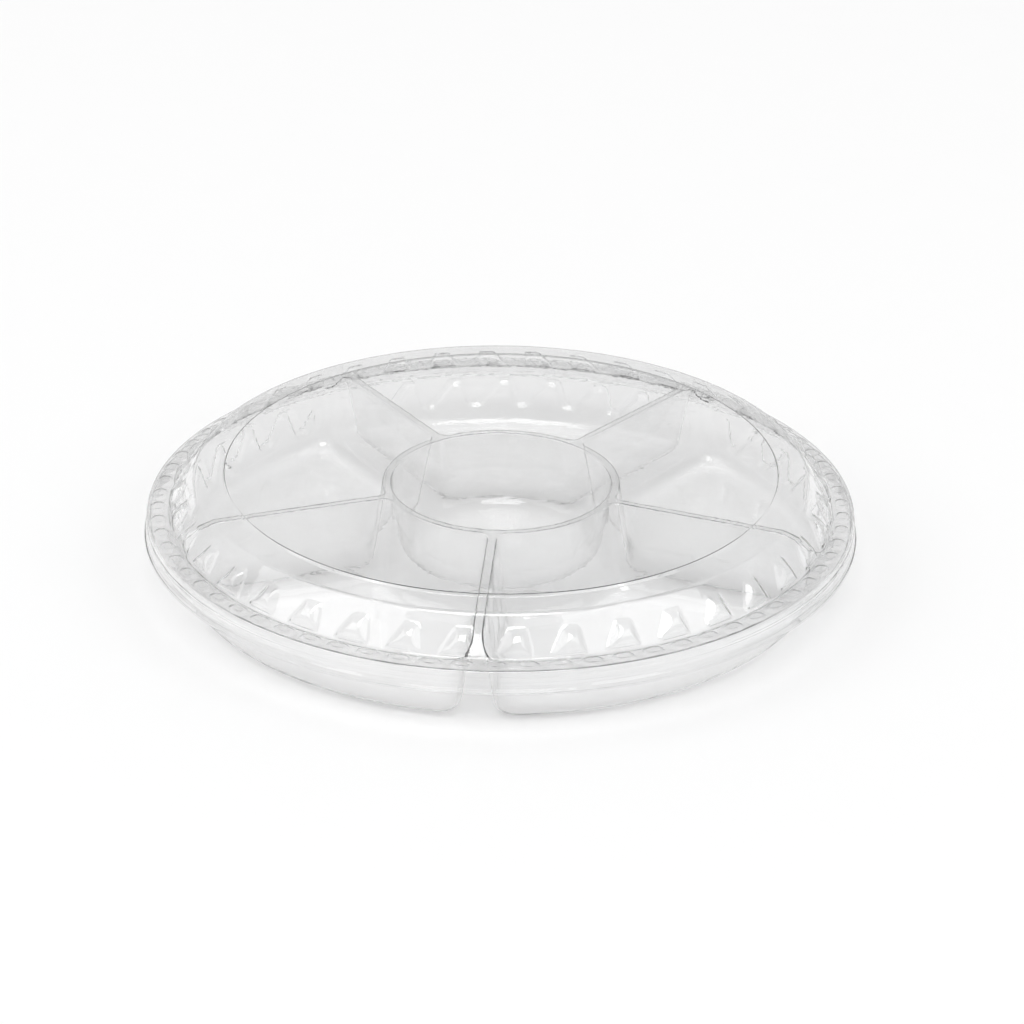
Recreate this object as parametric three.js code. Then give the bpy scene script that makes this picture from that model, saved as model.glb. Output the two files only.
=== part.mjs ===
// Round clear chip and dip server. The tray is one formed sheet: five outer wells round a dip cup, parted by
// hollow dividers that stand above the flange. A shallow dome lid drops over the tray's rim.
// Millimetres, +Z up. The origin is the centre of the plane that the wells stand on.
import * as THREE from "three";

// Sheet and clearance
const traySheet = 0.6;
const lidSheet = 0.5;
const restGap = 0.3; // between the lid's flange and the tray's

// Heights above the plane that the tray stands on
const wellFloor = traySheet;
const cupFloor = 5.5;
const lipHeight = 20.0;
const lidFlange = 29.5;
const trayFlange = lidFlange - lidSheet - restGap;
const landHeight = 38.4; // tops of the dividers and of the cup's rim
const shoulderHeight = 44.6;
const panelHeight = 46.1;

// Radii and widths, as virtual sharp edges before rounding
const cupMouth = 47.3;
const cupRimOuter = 51.1;
const wellOuter = 142;
const landEnd = 129.5; // where a divider's top starts to fall to the flange
const rimCorner = 150.7;
const lipRadius = 153.2;
const dividerHalf = 2.1;
const edgeRound = 0.9;
const panelRadius = 118.4;
const shoulderRadius = 132.4;
const lidWallFoot = 141.6;
const skirtRadius = 152;

// Draft of each wall and the rounding of the floors
const sideDraft = THREE.MathUtils.degToRad(8);
const outerDraft = THREE.MathUtils.degToRad(6.3);
const floorFillet = 7.4;
const cupFillet = 9;
const innerCorner = { top: 5, foot: 6, floor: 4 };
const outerCorner = { top: 9, foot: 7, floor: 4.5 };

// The dividers' directions from +X, counterclockwise. The well at -X is a little wider than the others.
const dividers = [-90, -18, 53.5, 126.5, 203].map((degrees) => THREE.MathUtils.degToRad(degrees));
const wells = dividers.length;

// How finely the curves are cut
const innerArcSteps = 6;
const outerArcSteps = 14;
const cornerSteps = 3;
const sideSteps = 2;
const dividerSteps = 3;
const filletSteps = 3;
const lidSteps = 96;

const lerp = THREE.MathUtils.lerp;

// An open sheet of triangles that grows ring by ring, with points shared between neighbours.
class Sheet {
  constructor() {
    this.points = [];
    this.faces = [];
  }

  add(radius, angle, z) {
    this.points.push(new THREE.Vector3(radius * Math.cos(angle), radius * Math.sin(angle), z));
    return this.points.length - 1;
  }

  ring(angles, radius, z) {
    return angles.map((angle) => this.add(radius, angle, z));
  }

  quad(a, b, c, d) {
    this.faces.push([a, b, c], [a, c, d]);
  }

  // Joins two closed loops of equal length that run counterclockwise, outer loop first.
  band(outer, inner) {
    outer.forEach((from, k) => {
      const next = (k + 1) % outer.length;
      this.quad(from, outer[next], inner[next], inner[k]);
    });
  }

  bands(loops) {
    loops.slice(1).forEach((loop, k) => this.band(loops[k], loop));
  }

  // Closes a counterclockwise loop with a fan to one middle point.
  fan(loop, radius, angle, z) {
    const middle = this.add(radius, angle, z);
    loop.forEach((from, k) => this.faces.push([from, loop[(k + 1) % loop.length], middle]));
  }

  // At each point, the way out of the sheet, long enough to keep the wall's full thickness on a bend.
  offsets() {
    const around = this.points.map(() => []);
    const corner = [new THREE.Vector3(), new THREE.Vector3()];
    for (const face of this.faces) {
      const [a, b, c] = face.map((k) => this.points[k]);
      const normal = new THREE.Triangle(a, b, c).getNormal(new THREE.Vector3());
      face.forEach((k, i) => {
        corner[0].subVectors(this.points[face[(i + 1) % 3]], this.points[k]);
        corner[1].subVectors(this.points[face[(i + 2) % 3]], this.points[k]);
        around[k].push({ normal, weight: corner[0].angleTo(corner[1]) });
      });
    }
    return around.map((list) => {
      const way = new THREE.Vector3();
      list.forEach(({ normal, weight }) => way.addScaledVector(normal, weight));
      way.normalize();
      const least = Math.min(...list.map(({ normal }) => normal.dot(way)));
      return way.divideScalar(Math.max(least, 0.7));
    });
  }

  // A closed shell: this sheet, the same sheet set back by the thickness, and a strip round its free edge.
  shell(thickness) {
    const count = this.points.length;
    const back = this.offsets().map((way, k) => this.points[k].clone().addScaledVector(way, -thickness));
    const faces = [...this.faces, ...this.faces.map(([a, b, c]) => [a + count, c + count, b + count])];
    const used = new Set(this.faces.flatMap(([a, b, c]) => [`${a} ${b}`, `${b} ${c}`, `${c} ${a}`]));
    for (const edge of used) {
      const [a, b] = edge.split(" ").map(Number);
      if (!used.has(`${b} ${a}`)) faces.push([b, a, a + count], [b, a + count, b + count]);
    }
    const geometry = new THREE.BufferGeometry();
    geometry.setFromPoints([...this.points, ...back]);
    geometry.setIndex(faces.flat());
    geometry.computeVertexNormals();
    return geometry;
  }
}

// Height of the land between the wells: level over the cup's rim and the dividers, then down to the flange.
function landAt(radius) {
  const fall = THREE.MathUtils.smoothstep(radius, landEnd, wellOuter);
  return lerp(landHeight, trayFlange, fall);
}

// One side of a well beside a divider, from its inner arc round two corners to its outer arc.
// Each point is a radius and an angle measured from the divider's middle.
function wellSide({ side, inner, outer, innerRound, outerRound }) {
  const innerAlong = Math.sqrt((inner + innerRound) ** 2 - (side + innerRound) ** 2);
  const outerAlong = Math.sqrt((outer - outerRound) ** 2 - (side + outerRound) ** 2);
  const points = [];
  const arc = (along, round, from, to) => {
    for (let k = 0; k <= cornerSteps; k++) {
      const turn = lerp(from, to, k / cornerSteps);
      points.push([along + round * Math.cos(turn), side + round + round * Math.sin(turn)]);
    }
  };
  const toCentre = Math.atan2(-(side + innerRound), -innerAlong);
  arc(innerAlong, innerRound, toCentre, -Math.PI / 2);
  for (let k = 1; k < sideSteps; k++) points.push([lerp(innerAlong, outerAlong, k / sideSteps), side]);
  const outwards = Math.atan2(side + outerRound, outerAlong);
  arc(outerAlong, outerRound, -Math.PI / 2, outwards);
  return points.map(([along, across]) => [Math.hypot(along, across), Math.atan2(across, along)]);
}

// The angle from one divider to the next, which is the well's share of the circle.
function sectorOf(well) {
  const next = dividers[(well + 1) % wells];
  return THREE.MathUtils.euclideanModulo(next - dividers[well], 2 * Math.PI);
}

// A well's closed outline, counterclockwise, as radius and angle from the divider at its start.
function wellOutline(shape, sector) {
  const side = wellSide(shape);
  const mirrored = side.map(([radius, angle]) => [radius, sector - angle]).reverse();
  const [innerRadius, innerStart] = side[0];
  const [outerRadius, outerStart] = side[side.length - 1];
  const arc = (radius, from, to, steps) =>
    Array.from({ length: steps - 1 }, (_, k) => [radius, lerp(from, to, (k + 1) / steps)]);
  return [
    ...side,
    ...arc(outerRadius, outerStart, sector - outerStart, outerArcSteps),
    ...mirrored,
    ...arc(innerRadius, sector - innerStart, innerStart, innerArcSteps),
  ];
}

// The well's shape at each level down its wall, with the height of a level above the floor or below the land.
function wellLevels() {
  const drop = landHeight - wellFloor;
  const foot = { side: drop * Math.tan(sideDraft), outer: (trayFlange - wellFloor) * Math.tan(outerDraft) };
  const level = (sideIn, outerIn, innerRound, outerRound, height) => ({
    shape: {
      side: dividerHalf + sideIn,
      inner: cupRimOuter + sideIn,
      outer: wellOuter - outerIn,
      innerRound,
      outerRound,
    },
    height,
  });
  const levels = [
    level(-edgeRound, -edgeRound, innerCorner.top, outerCorner.top, (land) => land),
    level(0, 0, innerCorner.top, outerCorner.top, (land) => land - edgeRound),
  ];
  for (let k = filletSteps; k >= 0; k--) {
    const sideTurn = ((Math.PI / 2 - sideDraft) * k) / filletSteps;
    const outerTurn = ((Math.PI / 2 - outerDraft) * k) / filletSteps;
    const sideIn = foot.side + floorFillet * (Math.tan((Math.PI / 2 - sideDraft) / 2) - Math.sin(sideTurn));
    const outerIn = foot.outer + floorFillet * (Math.tan((Math.PI / 2 - outerDraft) / 2) - Math.sin(outerTurn));
    const height = wellFloor + floorFillet * (1 - Math.cos(sideTurn));
    const innerRound = lerp(innerCorner.floor, innerCorner.foot, k / filletSteps);
    const outerRound = lerp(outerCorner.floor, outerCorner.foot, k / filletSteps);
    levels.push(level(sideIn, outerIn, innerRound, outerRound, () => height));
  }
  return levels;
}

// The dip cup below its rim: rounded edge, drafted wall, large fillet and flat floor.
function cupProfile() {
  const foot = cupMouth - (landHeight - cupFloor) * Math.tan(sideDraft);
  const flat = foot - cupFillet * Math.tan((Math.PI / 2 - sideDraft) / 2);
  const profile = [
    [cupMouth + edgeRound, landHeight],
    [cupMouth, landHeight - edgeRound],
  ];
  for (let k = filletSteps; k >= 0; k--) {
    const turn = ((Math.PI / 2 - sideDraft) * k) / filletSteps;
    profile.push([flat + cupFillet * Math.sin(turn), cupFloor + cupFillet * (1 - Math.cos(turn))]);
  }
  return profile;
}

// The tray's rim from its outermost point in to the flange: lip, skirt and rounded corner.
const rimProfile = [
  [lipRadius, lipHeight],
  [lipRadius - 0.3, lipHeight + 0.6],
  [rimCorner + 0.6, lipHeight + 1.1],
  [rimCorner, lipHeight + 1.9],
  [rimCorner - 0.1, trayFlange - 1.1],
  [rimCorner - 0.4, trayFlange - 0.35],
  [rimCorner - 1.2, trayFlange],
];

function traySheetSurface() {
  const sheet = new Sheet();
  const levels = wellLevels();
  const top = [];
  for (let well = 0; well < wells; well++) {
    const start = dividers[well];
    const sector = sectorOf(well);
    const loops = levels.map(({ shape, height }) =>
      wellOutline(shape, sector).map(([radius, angle]) =>
        sheet.add(radius, start + angle, height(landAt(radius))),
      ),
    );
    sheet.bands(loops);
    const middle = (cupRimOuter + wellOuter) / 2;
    sheet.fan(loops[loops.length - 1], middle, start + sector / 2, wellFloor);
    top.push(loops[0]);
  }

  // Each divider's top joins the matching sides of its two wells, row by row from the cup to the flange.
  const edge = wellSide(levels[0].shape);
  const rows = [];
  for (let well = 0; well < wells; well++) {
    const start = dividers[well];
    const before = top[(well + wells - 1) % wells];
    const after = top[well];
    const mirrored = edge.length + outerArcSteps - 1;
    const row = edge.map(([radius, angle], k) => {
      const across = [];
      for (let step = 1; step < dividerSteps; step++) {
        const turn = lerp(-angle, angle, step / dividerSteps);
        across.push(sheet.add(radius, start + turn, landAt(radius)));
      }
      return [before[mirrored + edge.length - 1 - k], ...across, after[k]];
    });
    row.slice(1).forEach((next, k) => {
      for (let step = 0; step < dividerSteps; step++) {
        sheet.quad(row[k][step], next[step], next[step + 1], row[k][step + 1]);
      }
    });
    rows.push(row);
  }

  // The closed loops left round the cup and along the flange, made of well arcs and divider ends.
  const innerLoop = [];
  const outerLoop = [];
  for (let well = 0; well < wells; well++) {
    const loop = top[well];
    const innerArc = loop.slice(2 * edge.length + outerArcSteps - 1).reverse();
    const outerArc = loop.slice(edge.length, edge.length + outerArcSteps - 1);
    innerLoop.push(...rows[well][0], ...innerArc);
    outerLoop.push(...rows[well][edge.length - 1], ...outerArc);
  }
  const angleOf = (k) => Math.atan2(sheet.points[k].y, sheet.points[k].x);
  const cupAngles = innerLoop.map(angleOf);
  const cupLoops = cupProfile().map(([radius, z]) => sheet.ring(cupAngles, radius, z));
  sheet.bands([innerLoop, ...cupLoops]);
  sheet.fan(cupLoops[cupLoops.length - 1], 0, 0, cupFloor);
  const rimAngles = outerLoop.map(angleOf);
  const rimLoops = rimProfile.map(([radius, z]) => sheet.ring(rimAngles, radius, z));
  sheet.bands([...rimLoops, outerLoop]);
  return sheet;
}

// The lid's outer surface from its free edge in to the raised middle panel.
const lidProfile = [
  [skirtRadius + 0.7, lipHeight + 2.2],
  [skirtRadius + 0.1, lipHeight + 3],
  [skirtRadius - 0.2, lipHeight + 4.6],
  [skirtRadius, lidFlange - 3],
  [skirtRadius, lidFlange - 1],
  [skirtRadius - 0.3, lidFlange - 0.3],
  [skirtRadius - 1, lidFlange],
  [lidWallFoot + 1, lidFlange],
  [lidWallFoot, lidFlange + 0.7],
  [shoulderRadius, shoulderHeight - 1.5],
  [shoulderRadius - 0.9, shoulderHeight - 0.5],
  [shoulderRadius - 2.4, shoulderHeight],
  [panelRadius + 0.6, shoulderHeight + 0.4],
  [panelRadius + 0.2, panelHeight - 0.3],
  [panelRadius - 0.6, panelHeight],
];

function lidSheetSurface() {
  const sheet = new Sheet();
  const angles = Array.from({ length: lidSteps }, (_, k) => (2 * Math.PI * k) / lidSteps);
  const loops = lidProfile.map(([radius, z]) => sheet.ring(angles, radius, z));
  sheet.bands(loops);
  sheet.fan(loops[loops.length - 1], 0, 0, panelHeight);
  return sheet;
}

function clearPlastic(color) {
  return new THREE.MeshStandardMaterial({
    color,
    roughness: 0.08,
    metalness: 0,
    transparent: true,
    opacity: 0.35,
    side: THREE.DoubleSide,
  });
}

function formedPiece(name, sheet, thickness, color) {
  const mesh = new THREE.Mesh(sheet.shell(thickness), clearPlastic(color));
  mesh.name = name;
  return mesh;
}

const server = new THREE.Group();
server.add(formedPiece("tray", traySheetSurface(), traySheet, 0xe6e9ea));
server.add(formedPiece("lid", lidSheetSurface(), lidSheet, 0xeceff0));

export default server;
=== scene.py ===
import math

import bpy
import numpy as np
from mathutils import Matrix, Vector


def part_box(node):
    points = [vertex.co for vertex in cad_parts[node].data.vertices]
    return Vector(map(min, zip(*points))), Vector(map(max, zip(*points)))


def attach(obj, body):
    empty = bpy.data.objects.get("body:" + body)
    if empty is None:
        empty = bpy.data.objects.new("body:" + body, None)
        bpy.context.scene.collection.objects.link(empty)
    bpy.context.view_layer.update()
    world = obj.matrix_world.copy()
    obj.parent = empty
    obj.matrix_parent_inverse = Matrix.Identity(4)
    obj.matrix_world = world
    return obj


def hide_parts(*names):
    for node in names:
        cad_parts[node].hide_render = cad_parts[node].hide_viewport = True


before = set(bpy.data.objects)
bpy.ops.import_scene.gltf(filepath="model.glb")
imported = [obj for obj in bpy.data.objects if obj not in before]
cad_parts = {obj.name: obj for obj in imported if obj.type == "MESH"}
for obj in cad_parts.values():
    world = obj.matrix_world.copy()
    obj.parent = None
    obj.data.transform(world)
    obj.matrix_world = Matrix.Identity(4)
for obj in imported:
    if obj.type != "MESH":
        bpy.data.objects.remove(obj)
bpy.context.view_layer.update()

# Clear chip and dip server: a formed tray with five wells and a dip cup, and its dome lid.
# Shapes are worked out in millimetres and written to the meshes in metres.

mm = 0.001
fullTurn = 2 * math.pi
trayLow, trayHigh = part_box("tray")
lidLow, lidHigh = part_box("lid")
rim = trayHigh.x / mm  # outermost edge of the tray's lip
landTop = trayHigh.z / mm  # tops of the dividers and of the cup's rim
panelTop = lidHigh.z / mm
lidEdge = lidLow.z / mm
lidFlare = lidHigh.x / mm
lidFlange = panelTop - 16.6
trayFlange = lidFlange - 0.8
trayLipEdge = lidEdge - 2.2
print("frame loaded, rim", round(rim, 1), "mm from the centre")


def smooth(low, high, x):  # 0 at low, 1 at high, eased at both
    t = np.clip((x - low) / (high - low), 0, 1)
    return t * t * (3 - 2 * t)


def blend(a, b, t):
    return a + (b - a) * t


def even(count):  # shares of a full turn
    return np.arange(count) / count


def rounded(corners, steps):
    # a profile of (radius, height, rounding) corners, with each rounded corner cut as an arc
    path = []
    for k, (r, z, rounding) in enumerate(corners):
        here = np.array([r, z])
        if rounding == 0 or k in (0, len(corners) - 1):
            path.append(here)
            continue
        back = np.array(corners[k - 1][:2]) - here
        ahead = np.array(corners[k + 1][:2]) - here
        back, ahead = back / np.linalg.norm(back), ahead / np.linalg.norm(ahead)
        half = math.acos(np.clip(back @ ahead, -1, 1)) / 2
        middle = here + (back + ahead) / np.linalg.norm(back + ahead) * rounding / math.sin(half)
        start = here + back * rounding / math.tan(half) - middle
        end = here + ahead * rounding / math.tan(half) - middle
        turn = math.pi - 2 * half
        for t in np.linspace(0, 1, steps + 1):
            share = (math.sin((1 - t) * turn) * start + math.sin(t * turn) * end) / math.sin(turn)
            path.append(middle + share)
    return np.array(path)


class Sheet:  # the upper skin of a formed sheet, grown loop by loop; loops run counterclockwise
    def __init__(self):
        self.points, self.faces, self.count = [], [], 0

    def loop(self, radius, angle, z):
        radius, angle, z = np.broadcast_arrays(radius, angle, z)
        first, self.count = self.count, self.count + len(angle)
        self.points.append(np.stack([radius * np.cos(angle), radius * np.sin(angle), z], 1))
        return np.arange(first, self.count)

    def band(self, outer, inner):  # two closed loops of the same count, outer one first
        self.faces += np.stack([outer, np.roll(outer, -1), np.roll(inner, -1), inner], 1).tolist()

    def bands(self, loops):
        for outer, inner in zip(loops, loops[1:]):
            self.band(outer, inner)

    def sew(self, outer, outerAt, inner, innerAt):  # closed loops of different counts, joined by place
        outerAt = np.append(outerAt, outerAt[0] + 1)
        innerAt = np.append(innerAt, innerAt[0] + 1)
        i = j = 0
        while i < len(outer) or j < len(inner):
            a, b = outer[i % len(outer)], inner[j % len(inner)]
            if j == len(inner) or (i < len(outer) and outerAt[i + 1] <= innerAt[j + 1]):
                i += 1
                self.faces.append([a, outer[i % len(outer)], b])
            else:
                j += 1
                self.faces.append([a, inner[j % len(inner)], b])

    def fan(self, loop, radius, angle, z):  # closes a loop onto one middle point
        middle = self.loop(radius, np.array([angle]), z)[0]
        self.faces += [[a, b, middle] for a, b in zip(loop, np.roll(loop, -1))]

    def normals(self, upper):
        skin = bpy.data.meshes.new("skin")
        skin.from_pydata(upper, [], self.faces)
        normal = np.empty(len(upper) * 3)
        skin.vertices.foreach_get("normal", normal)
        bpy.data.meshes.remove(skin)
        return normal.reshape(-1, 3)

    def shell(self, name, thickness):  # both skins and the strip round the free edge, as one closed mesh
        upper = np.concatenate(self.points)
        lower = upper - self.normals(upper) * np.reshape(thickness(upper), (-1, 1))
        edges = {}
        for face in self.faces:
            for a, b in zip(face, face[1:] + face[:1]):
                edges[a, b] = True
        free = [(a, b) for a, b in edges if (b, a) not in edges]
        strip = [[b, a, a + self.count, b + self.count] for a, b in free]
        under = [[k + self.count for k in reversed(face)] for face in self.faces]
        mesh = bpy.data.meshes.new(name)
        mesh.from_pydata(np.concatenate([upper, lower]) * mm, [], self.faces + under + strip)
        mesh.shade_smooth()
        mesh.set_sharp_from_angle(angle=math.radians(55))  # keeps the cut edge crisp
        piece = bpy.data.objects.new(name, mesh)
        bpy.context.scene.collection.objects.link(piece)
        print(name, "made with", len(mesh.polygons), "faces")
        return piece


tray = {
    "sheet": 0.5,
    "thinning": 0.15,  # how much the sheet loses where it is drawn deepest
    "dividers": (-90, -18, 53.5, 126.5, 203),  # degrees; the well at the left is a little wider
    "cupMouth": 47.3,
    "cupRimOuter": 51.1,
    "cupFloor": 5.5,
    "cupFillet": 9,
    "wellFloor": 0.35,  # the sheet here is this thick, so it stands on the floor
    "wellOuter": rim - 11.2,
    "floorFillet": 7.4,
    "floorCrown": 0.35,
    "dividerHalf": 2.1,
    "edgeRound": 0.9,
    "landEnd": rim - 23.7,
    "sideDraft": 8,
    "outerDraft": 6.3,
    "innerCorner": (5, 6, 4),  # at the top, at the wall's foot and on the floor
    "outerCorner": (9, 7, 4.5),
    "waveTop": 8.0,  # below the lid's flange
    "waveFoot": 18.8,
    "wavePitch": 9,  # degrees
    "wavePhase": 4.3,
    "waveCorners": (2.2, 3.5, 5.3),  # degrees to the end of the top, the start and the end of the foot
    "waveRound": 1.5,
    "waveWidth": 4.3,
    "waveDepth": 2.3,
    "waveSpans": (None, (-7, 47.3), (65, 115.6), (130.6, 188), None),  # degrees; the front wells are plain
    # the lip from its free edge in to the flange: how far in, how far up from the edge, rounding
    "lip": ((0, 0, 0), (0.2, 0.7, 0.25), (2.35, 1.3, 0.5)),
    "lipTop": (2.6, 1.1),  # how far in, rounding
}
trayCuts = {"arc": 60, "innerArc": 24, "corner": 8, "side": 12, "across": 8, "wall": 8, "fillet": 7}
waveCuts = {**trayCuts, "arc": 220, "wall": 27}  # fine enough for the wave's bead
footCuts = {"arc": 60, "innerArc": 22, "corner": 7, "side": 12}
wellCuts = [waveCuts if span else trayCuts for span in tray["waveSpans"]]
rimCount = 360
starts = np.radians(tray["dividers"])
sectors = (np.roll(starts, -1) - starts) % fullTurn
sideDraft, outerDraft = math.radians(tray["sideDraft"]), math.radians(tray["outerDraft"])


def landAt(radius):  # height between the wells: level, then down to the flange
    return blend(landTop, trayFlange, smooth(tray["landEnd"], tray["wellOuter"], radius))


def wellSide(shape, cuts):
    # a well's edge beside a divider, from its inner arc round two corners to its outer arc
    side, inner, outer, innerRound, outerRound = shape
    innerAlong = math.sqrt((inner + innerRound) ** 2 - (side + innerRound) ** 2)
    outerAlong = math.sqrt((outer - outerRound) ** 2 - (side + outerRound) ** 2)
    fromCentre = math.atan2(-(side + innerRound), -innerAlong)
    outwards = math.atan2(side + outerRound, outerAlong)
    down = -math.pi / 2

    def corner(middle, rounding, turn):
        return np.stack([middle + rounding * np.cos(turn), side + rounding * (1 + np.sin(turn))], 1)

    first = corner(innerAlong, innerRound, np.linspace(fromCentre, down, cuts["corner"] + 1))
    along = np.linspace(innerAlong, outerAlong, cuts["side"] + 1)[1:-1]
    straight = np.stack([along, np.full_like(along, side)], 1)
    last = corner(outerAlong, outerRound, np.linspace(down, outwards, cuts["corner"] + 1))
    along, across = np.concatenate([first, straight, last]).T
    return np.hypot(along, across), np.arctan2(across, along)


def wellOutline(shape, cuts, sector):
    # the closed outline, with each point's place from 0 to 1 so that outlines of other counts can join it
    radius, angle = wellSide(shape, cuts)
    outerTurn = np.linspace(angle[-1], sector - angle[-1], cuts["arc"] + 1)[1:-1]
    innerTurn = np.linspace(sector - angle[0], angle[0], cuts["innerArc"] + 1)[1:-1]
    radii = [radius, np.full_like(outerTurn, radius[-1]), radius[::-1], np.full_like(innerTurn, radius[0])]
    angles = [angle, outerTurn, sector - angle[::-1], innerTurn]
    sidePlace = np.linspace(0, 0.25, len(radius))
    outerPlace = np.linspace(0.25, 0.5, cuts["arc"] + 1)[1:-1]
    innerPlace = np.linspace(0.75, 1, cuts["innerArc"] + 1)[1:-1]
    places = [sidePlace, outerPlace, sidePlace + 0.5, innerPlace]
    return np.concatenate(radii), np.concatenate(angles), np.concatenate(places)


def wavePath(scale):
    # the zigzag as distance around and height: a short top, a steep fall, a foot and a slanted rise
    top, foot = lidFlange - tray["waveTop"], lidFlange - tray["waveFoot"]
    topEnd, footStart, footEnd = tray["waveCorners"]
    corners = []
    for k in (-1, 0, 1, 2):  # one pitch and its neighbours
        start = k * tray["wavePitch"] - tray["wavePhase"]
        corners += [(start, top), (start + topEnd, top), (start + footStart, foot), (start + footEnd, foot)]
    return rounded([(degrees * scale, z, tray["waveRound"]) for degrees, z in corners], 3)


def waveAt(angle, z, span):
    # depth of the bead pressed into a well's outer wall
    degrees = np.degrees(angle)
    pitch, phase, scale = tray["wavePitch"], tray["wavePhase"], math.radians(1) * tray["wellOuter"]
    around = ((phase - degrees) % pitch - phase) * scale
    here = np.stack([around, z], -1)[:, None, :]
    path = wavePath(scale)
    a, b = path[:-1], path[1:]
    along = np.clip(((here - a) * (b - a)).sum(-1) / ((b - a) ** 2).sum(-1), 0, 1)
    away = np.linalg.norm(here - a - along[..., None] * (b - a), axis=-1).min(-1)
    # two flanks of even slope, rounded where they meet and where they run out
    flank = 1.06 - np.sqrt((2 * away / tray["waveWidth"]) ** 2 + 0.012)
    ends = smooth(span[0] - 0.5, span[0] + 0.5, degrees) * smooth(span[1] + 0.5, span[1] - 0.5, degrees)
    return tray["waveDepth"] * ends * (flank + np.sqrt(flank ** 2 + 0.004)) / 2


def wellLevels(wallCuts):
    # from the land down: rounded edge, drafted wall, fillet; each level is a shape and a height rule
    edge, fillet = tray["edgeRound"], tray["floorFillet"]
    innerTop, innerFoot, innerFloor = tray["innerCorner"]
    outerTop, outerFoot, outerFloor = tray["outerCorner"]
    sideFoot = (landTop - tray["wellFloor"]) * math.tan(sideDraft)
    outerFootIn = (trayFlange - tray["wellFloor"]) * math.tan(outerDraft)

    def level(sideIn, outerIn, innerRound, outerRound, height):
        shape = (tray["dividerHalf"] + sideIn, tray["cupRimOuter"] + sideIn, tray["wellOuter"] - outerIn)
        return (*shape, innerRound, outerRound), height

    def filletIn(draft, t):  # how far a fillet has come in from the wall's line
        full = math.pi / 2 - draft
        return fillet * (math.tan(full / 2) - math.sin(full * t))

    def filletLevel(t):  # t is 1 at the wall and 0 on the floor
        sideIn, outerIn = sideFoot + filletIn(sideDraft, t), outerFootIn + filletIn(outerDraft, t)
        height = tray["wellFloor"] + fillet * (1 - math.cos((math.pi / 2 - sideDraft) * t))
        innerRound, outerRound = blend(innerFloor, innerFoot, t), blend(outerFloor, outerFoot, t)
        return level(sideIn, outerIn, innerRound, outerRound, height)

    edges = []
    for turn in np.radians(np.linspace(0, 84, 5)):
        out, drop = edge * (math.sin(turn) - 1), edge * (1 - math.cos(turn))
        edges.append(level(out, out, innerTop, outerTop, lambda land, drop=drop: land - drop))
    (top, topHeight), (foot, footHeight) = edges[-1], filletLevel(1)
    walls = []
    for t in np.arange(1, wallCuts) / wallCuts:
        shape = tuple(blend(a, b, t) for a, b in zip(top, foot))
        walls.append((shape, lambda land, t=t: blend(topHeight(land), footHeight, t)))
    fillets = [filletLevel(t) for t in np.linspace(1, 0, trayCuts["fillet"] + 1)]
    fillets = [(shape, lambda land, height=height: height + 0 * land) for shape, height in fillets]
    return edges, walls, fillets


def cupProfile():
    foot = tray["cupMouth"] - (landTop - tray["cupFloor"]) * math.tan(sideDraft)
    return rounded(
        [
            (tray["cupRimOuter"], landTop, 0),
            (tray["cupMouth"], landTop, tray["edgeRound"]),
            (foot, tray["cupFloor"], tray["cupFillet"]),
            (0, tray["cupFloor"], 0),
        ],
        8,
    )[1:-1]


def rimProfile():
    inward, rounding = tray["lipTop"]
    lip = [(rim - inset, trayLipEdge + up, turn) for inset, up, turn in tray["lip"]]
    return rounded([*lip, (rim - inward, trayFlange, rounding), (tray["wellOuter"], trayFlange, 0)], 4)[:-1]


def makeTray():
    sheet = Sheet()
    tops = []
    for start, sector, span, cuts in zip(starts, sectors, tray["waveSpans"], wellCuts):
        edges, walls, fillets = wellLevels(cuts["wall"])

        def addLevel(shape, height, levelCuts):
            radius, angle, place = wellOutline(shape, levelCuts, sector)
            z = height(landAt(radius))
            if span:
                onArc = (place > 0.25) & (place < 0.5)
                radius = radius + np.where(onArc, waveAt(start + angle, z, span), 0)
            return sheet.loop(radius, start + angle, z), place

        wall = [addLevel(*level, cuts) for level in edges + walls]
        foot = [addLevel(*level, footCuts) for level in fillets]
        sheet.bands([loop for loop, _ in wall])
        sheet.sew(*wall[-1], *foot[0])
        sheet.bands([loop for loop, _ in foot])
        makeFloor(sheet, fillets[-1][0], foot[-1][0], start, sector)
        tops.append(wall[0][0])
    rows = makeDividers(sheet, edges[0][0], tops)
    makeCup(sheet, tops, rows)
    makeRim(sheet, tops, rows)
    drawn = lambda p: tray["sheet"] - tray["thinning"] * smooth(landTop, tray["wellFloor"], p[:, 2])
    return sheet.shell("clear_tray", drawn)


def makeFloor(sheet, shape, edge, start, sector):
    # the flat floor, crowned a little towards its middle
    radius, angle, _ = wellOutline(shape, footCuts, sector)
    x, y = radius * np.cos(angle - sector / 2), radius * np.sin(angle - sector / 2)
    middle = (shape[1] + shape[2]) / 2
    loops = [edge]
    for t in (0.12, 0.3, 0.55, 0.8):
        inX, inY = blend(x, middle, t), y * (1 - t)
        crown = tray["floorCrown"] * smooth(0, 0.6, t)
        around = start + sector / 2 + np.arctan2(inY, inX)
        loops.append(sheet.loop(np.hypot(inX, inY), around, tray["wellFloor"] + crown))
    sheet.bands(loops)
    sheet.fan(loops[-1], middle, start + sector / 2, tray["wellFloor"] + tray["floorCrown"])


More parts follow.
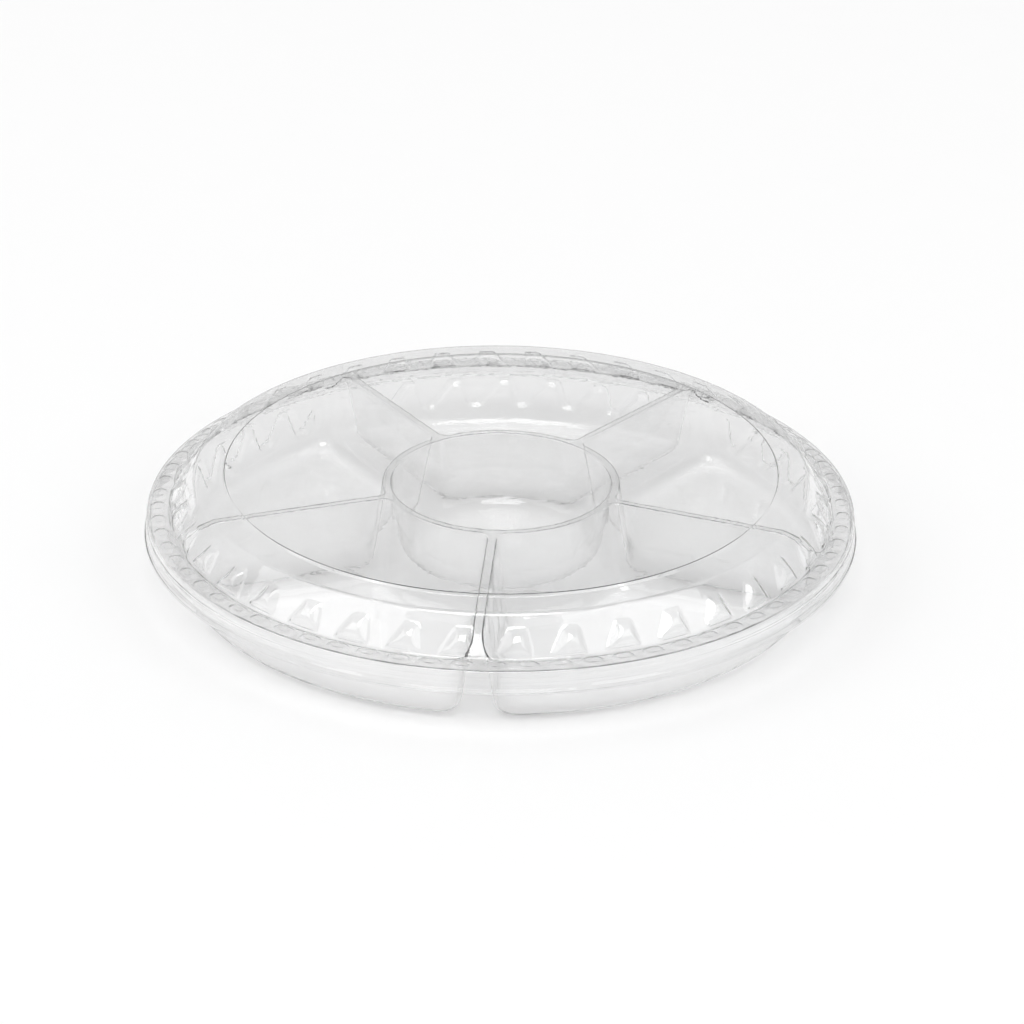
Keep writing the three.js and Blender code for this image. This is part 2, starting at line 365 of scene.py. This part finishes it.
def makeDividers(sheet, shape, tops):
    # the land between two wells, in columns across each divider from one well's edge to the next one's
    radius, angle = wellSide(shape, trayCuts)
    count = len(radius)
    rows = []
    for well, start in enumerate(starts):
        mirrored = count + wellCuts[well - 1]["arc"] - 1
        before = tops[well - 1][mirrored : mirrored + count][::-1]
        after = tops[well][:count]
        columns = [before]
        for t in np.arange(1, trayCuts["across"]) / trayCuts["across"]:
            columns.append(sheet.loop(radius, start + blend(-angle, angle, t), landAt(radius)))
        columns.append(after)
        for left, right in zip(columns, columns[1:]):
            sheet.faces += np.stack([left[:-1], left[1:], right[1:], right[:-1]], 1).tolist()
        rows.append(np.stack(columns, 1))
    return rows


def anglesOf(sheet, loop):
    made = np.concatenate(sheet.points)
    return np.unwrap(np.arctan2(made[loop, 1], made[loop, 0]))


def makeCup(sheet, tops, rows):
    count = len(rows[0])
    mouth = []
    for loop, row, cuts in zip(tops, rows, wellCuts):
        mouth += [*row[0], *loop[2 * count + cuts["arc"] - 1 :][::-1]]
    around = anglesOf(sheet, mouth)
    sheet.bands([np.array(mouth), *[sheet.loop(r, around, z) for r, z in cupProfile()]])
    sheet.fan(np.arange(sheet.count - len(mouth), sheet.count), 0, 0, tray["cupFloor"])


def makeRim(sheet, tops, rows):
    count = len(rows[0])
    inside = []
    for loop, row, cuts in zip(tops, rows, wellCuts):
        inside += [*row[-1], *loop[count : count + cuts["arc"] - 1]]
    around = anglesOf(sheet, inside)
    loops = [sheet.loop(r, around[0] + even(rimCount) * fullTurn, z) for r, z in rimProfile()]
    sheet.bands(loops)
    sheet.sew(loops[-1], even(rimCount), np.array(inside), (around - around[0]) / fullTurn)


lid = {
    "sheet": 0.45,
    "wallFoot": 142.2,
    "shoulder": 131.6,
    "shoulderHeight": panelTop - 1.5,
    "shoulderRound": 2.4,
    "panel": 118.4,
    # the skirt from its free edge up to the flange: how far in, height, rounding
    "skirt": (
        (0, lidEdge, 0),
        (0.6, lidEdge + 1.1, 0.6),
        (0.95, lidEdge + 2.4, 0.6),
        (0.6, lidEdge + 3.6, 0.5),
        (0.6, lidFlange - 2.9, 0.25),
        (0.85, lidFlange - 2.6, 0.25),
        (0.9, lidFlange, 1),
        (2.3, lidFlange, 0),
    ),
    "ribs": 40,
    "ribPhase": -96.3,  # degrees, where one rib's slanted side starts
    "ribTop": 10.0,  # above the flange
    "ribDepth": 2.7,
    "ribWidth": 6.4,  # degrees at the foot
    "ribLean": 2.6,  # degrees that the slanted side moves over the rib's height
    "ribPull": 0.9,  # degrees that the steep side moves the other way
    "ribRise": 0.62,  # slopes of a rib's two sides
    "ribFall": 0.85,
    "ribRound": 0.16,
    "lugs": 72,
    "lugPhase": 3,
    "lugHeight": 0.8,
    "lugAcross": 4.6,
    "lugAlong": 3.1,
}
lidCuts = {"fine": 1080, "even": 360, "panel": 90, "wall": 17, "flange": 10}


def lidProfiles():
    # three stretches: the skirt, the wall's foot, and from the shoulder to the panel
    shoulder = (lid["shoulder"], lid["shoulderHeight"], lid["shoulderRound"])
    wallFoot, panel = lid["wallFoot"], lid["panel"]
    skirt = rounded([(lidFlare - inset, z, rounding) for inset, z, rounding in lid["skirt"]], 3)
    foot = rounded([(wallFoot + 1.2, lidFlange, 0), (wallFoot, lidFlange, 1), shoulder], 3)
    top = rounded(
        [
            (wallFoot, lidFlange, 0),
            shoulder,
            (panel + 0.9, lid["shoulderHeight"] + 0.35, 0.5),
            (panel + 0.1, panelTop, 0.5),
            (panel - 3, panelTop, 0),
        ],
        5,
    )
    return skirt, foot[:-1], top[1:]


def ribAt(degrees, up):
    # a leaning rib: two leaf-shaped sides of even slope meet a crown that is highest at mid height
    pitch = 360 / lid["ribs"]
    scale = math.radians(1) * (lid["wallFoot"] - 4)
    phase = (degrees - lid["ribPhase"] + 1) % pitch - 1
    v = np.clip(up / lid["ribTop"], 0, 1)
    crown = lid["ribDepth"] * np.sin(math.pi * v) ** 0.8
    left = (phase - lid["ribLean"] * v ** 1.2) * scale * lid["ribRise"]
    right = (lid["ribWidth"] - lid["ribPull"] * v ** 1.5 - phase) * scale * lid["ribFall"]
    soft = lid["ribRound"]
    low = np.minimum(np.minimum(left, right), crown)
    shares = sum(np.exp(-(side - low) / soft) for side in (left, right, crown))
    return np.maximum(low - soft * np.log(shares), 0) * np.where(v < 1, 1, 0)


def lugAt(degrees, radius):
    # a low oval bump on the flange
    pitch = 360 / lid["lugs"]
    away = (degrees - lid["lugPhase"] + pitch / 2) % pitch - pitch / 2
    middle = (lid["wallFoot"] + lidFlare - 1) / 2
    across = np.radians(away) * radius / lid["lugAcross"]
    along = (radius - middle) / lid["lugAlong"]
    return lid["lugHeight"] * smooth(1.12, 0.72, np.sqrt(np.abs(across) ** 2.4 + np.abs(along) ** 2.4))


def makeLid():
    sheet = Sheet()
    skirt, foot, top = lidProfiles()
    coarse, fine, few = even(lidCuts["even"]), even(lidCuts["fine"]), even(lidCuts["panel"])
    skirtLoops = [sheet.loop(r, coarse * fullTurn, z) for r, z in skirt]
    sheet.bands(skirtLoops)
    fineLoops = []
    for r in np.linspace(skirt[-1][0] - 0.25, foot[0][0], lidCuts["flange"]):
        fineLoops.append(sheet.loop(r, fine * fullTurn, lidFlange + lugAt(fine * 360, r)))
    fineLoops += [sheet.loop(r, fine * fullTurn, z) for r, z in foot[1:]]
    start, end = foot[-1], top[0]
    way = (end - start) / np.linalg.norm(end - start)
    for t in np.arange(1, lidCuts["wall"] + 1) / lidCuts["wall"]:
        r, z = blend(start, end, t)
        swell = ribAt(fine * 360, z - lidFlange)
        fineLoops.append(sheet.loop(r + swell * way[1], fine * fullTurn, z - swell * way[0]))
    sheet.bands(fineLoops)
    sheet.sew(skirtLoops[-1], coarse, fineLoops[0], fine)
    topLoops = [sheet.loop(r, coarse * fullTurn, z) for r, z in top[1:]]
    sheet.sew(fineLoops[-1], fine, topLoops[0], coarse)
    sheet.bands(topLoops)
    panelLoops = [sheet.loop(r, few * fullTurn, panelTop) for r in (90, 60, 30)]
    sheet.sew(topLoops[-1], coarse, panelLoops[0], few)
    sheet.bands(panelLoops)
    sheet.fan(panelLoops[-1], 0, 0, panelTop)
    return sheet.shell("dome_lid", lambda p: np.full(len(p), lid["sheet"]))


class Field:  # a socket that takes part in sums
    def __init__(self, nodes, socket):
        self.nodes, self.socket = nodes, socket

    def combine(self, operation, other):
        return self.nodes.add("ShaderNodeMath", {"operation": operation}, [self, other])

    def __add__(self, other):
        return self.combine("ADD", other)

    def __mul__(self, other):
        return self.combine("MULTIPLY", other)

    __radd__, __rmul__ = __add__, __mul__

    def between(self, low, high, start=0.0, end=1.0):  # start at low and end at high, eased
        settings = {"interpolation_type": "SMOOTHSTEP"}
        return self.nodes.add("ShaderNodeMapRange", settings, [self, low, high, start, end])


class Nodes:
    def __init__(self, name):
        self.material = bpy.data.materials.new(name)
        self.material.use_nodes = True
        self.tree = self.material.node_tree
        self.tree.nodes.clear()

    def add(self, kind, settings=None, inputs=(), output=0):
        node = self.tree.nodes.new(kind)
        for key, value in (settings or {}).items():
            setattr(node, key, value)
        for key, value in inputs.items() if isinstance(inputs, dict) else enumerate(inputs):
            if isinstance(value, Field):
                self.tree.links.new(value.socket, node.inputs[key])
            else:
                node.inputs[key].default_value = value
        return Field(self, node.outputs[output]) if node.outputs else node

    def noise(self, scale, detail=2.0):
        place = self.add("ShaderNodeTexCoord", output=3)
        inputs = {"Vector": place, "Scale": scale, "Detail": detail, "Roughness": 0.5}
        return self.add("ShaderNodeTexNoise", None, inputs)


def clearSheet(name, look):
    nodes = Nodes(name)
    ripple = nodes.noise(look["rippleScale"]) + 0.25 * nodes.noise(look["rippleScale"] * 6)
    scuff = nodes.noise(look["scuffScale"], 5.0).between(0.52, 0.75)
    haze = nodes.noise(look["hazeScale"], 3.0).between(0.35, 0.7)
    settings = {"data_type": "RGBA", "blend_type": "MIX"}
    colours = {"Factor": haze, 6: (*look["colour"], 1), 7: (*look["hazeColour"], 1)}
    bump = {"Strength": 1.0, "Distance": look["rippleDepth"], "Height": ripple}
    plastic = {
        "Base Color": nodes.add("ShaderNodeMix", settings, colours, 2),
        "Roughness": look["roughness"] + look["hazeRoughness"] * haze + look["scuffRoughness"] * scuff,
        "IOR": look["ior"],
        "Transmission Weight": 1.0,
        "Normal": nodes.add("ShaderNodeBump", None, bump),
    }
    glass = nodes.add("ShaderNodeBsdfPrincipled", None, plastic)
    shade = nodes.add("ShaderNodeBsdfTransparent", None, {"Color": (*look["shadow"], 1)})
    towardsLamp = nodes.add("ShaderNodeLightPath", output=1)
    surface = nodes.add("ShaderNodeMixShader", None, [towardsLamp, glass, shade])
    nodes.add("ShaderNodeOutputMaterial", None, {"Surface": surface})
    return nodes.material


trayLook = {
    "colour": (0.988, 0.988, 0.988),
    "hazeColour": (0.974, 0.975, 0.976),
    "roughness": 0.01,
    "hazeRoughness": 0.015,
    "scuffRoughness": 0.03,
    "rippleScale": 26,
    "rippleDepth": 0.0004,
    "scuffScale": 220,
    "hazeScale": 9,
    "ior": 1.57,
    "shadow": (0.82, 0.82, 0.82),  # what a lamp's light keeps at each face, beside what is bent through
}
lidLook = {**trayLook, "rippleScale": 22, "rippleDepth": 0.0003, "colour": (0.992, 0.992, 0.992)}


def finishPiece(piece, node, look):
    piece.data.materials.append(clearSheet(node + "_clear_sheet", look))
    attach(piece, node)
    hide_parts(node)


stage = {"half": 6, "paint": (0.9, 0.9, 0.9), "grain": 40.0, "roughness": (0.8, 0.95)}


def makeStage():
    half = stage["half"]
    corners = [(-half, -half, 0), (half, -half, 0), (half, half, 0), (-half, half, 0)]
    floor = bpy.data.meshes.new("floor")
    floor.from_pydata(corners, [], [(0, 1, 2, 3)])
    plane = bpy.data.objects.new("floor", floor)
    bpy.context.scene.collection.objects.link(plane)
    nodes = Nodes("pale_floor")
    dull = nodes.noise(stage["grain"], 4.0).between(0, 1, *stage["roughness"])
    paint = {"Base Color": (*stage["paint"], 1), "Roughness": dull}
    surface = nodes.add("ShaderNodeBsdfPrincipled", None, paint)
    nodes.add("ShaderNodeOutputMaterial", None, {"Surface": surface})
    floor.materials.append(nodes.material)


lamps = {  # directions in degrees around from +X and above the floor; sizes and distances in metres
    "sky": {"kind": "SUN", "around": -92, "above": 66, "far": 6, "spread": 38, "power": 1.4},
    "left": {"kind": "AREA", "around": -155, "above": 39, "far": 7, "size": (6.4, 4.6), "power": 105},
    "right": {"kind": "AREA", "around": -34, "above": 39, "far": 7, "size": (5.6, 4.6), "power": 88},
}
lampAim = Vector((0, 0, 0.03))
roomLight = (0.5, 0.5, 0.5, 1)


def makeLamps():
    for name, lamp in lamps.items():
        data = bpy.data.lights.new(name, lamp["kind"])
        data.energy = lamp["power"]
        if lamp["kind"] == "SUN":
            data.angle = math.radians(lamp["spread"])
        else:
            data.shape = "RECTANGLE"
            data.size, data.size_y = lamp["size"]
        around, above = math.radians(lamp["around"]), math.radians(lamp["above"])
        level = math.cos(above)
        out = Vector((math.cos(around) * level, math.sin(around) * level, math.sin(above)))
        light = bpy.data.objects.new(name, data)
        light.location = lampAim + out * lamp["far"]
        light.rotation_euler = (-out).to_track_quat("-Z", "Y").to_euler()
        bpy.context.scene.collection.objects.link(light)
    world = bpy.data.worlds.new("studio")
    world.use_nodes = True
    world.node_tree.nodes["Background"].inputs[0].default_value = roomLight
    bpy.context.scene.world = world


camera = {
    "around": 3.5,  # degrees from -Y towards +X
    "above": 26.5,
    "roll": 0.66,
    "distance": 1.3685,
    "aside": (0.00476, -0.00566),
    "lens": 111.6,
}


def makeCamera():
    around, above, roll = (math.radians(camera[k]) for k in ("around", "above", "roll"))
    level = math.cos(above)
    forward = Vector((-math.sin(around) * level, math.cos(around) * level, -math.sin(above)))
    right = Vector((math.cos(around), math.sin(around), 0))
    up = right.cross(forward)
    turned = right * math.cos(roll) + up * math.sin(roll)
    upright = turned.cross(forward)
    aim = Vector((0, 0, lidFlange * mm))
    spot = aim - forward * camera["distance"] + turned * camera["aside"][0] + upright * camera["aside"][1]
    data = bpy.data.cameras.new("camera")
    data.lens, data.sensor_width, data.clip_end = camera["lens"], 36, 50
    eye = bpy.data.objects.new("camera", data)
    eye.matrix_world = Matrix.Translation(spot) @ Matrix((turned, upright, -forward)).transposed().to_4x4()
    bpy.context.scene.collection.objects.link(eye)
    bpy.context.scene.camera = eye


def setLightPaths(scene):  # enough bounces to see through both sheets and out again
    scene.view_settings.view_transform = "Standard"
    scene.cycles.max_bounces = 24
    scene.cycles.glossy_bounces = 12
    scene.cycles.transmission_bounces = 24
    scene.cycles.transparent_max_bounces = 24


setLightPaths(bpy.context.scene)
makeCamera()
finishPiece(makeTray(), "tray", trayLook)
finishPiece(makeLid(), "lid", lidLook)
print("pieces ride their bodies")
makeStage()
makeLamps()
print("stage and lamps set")
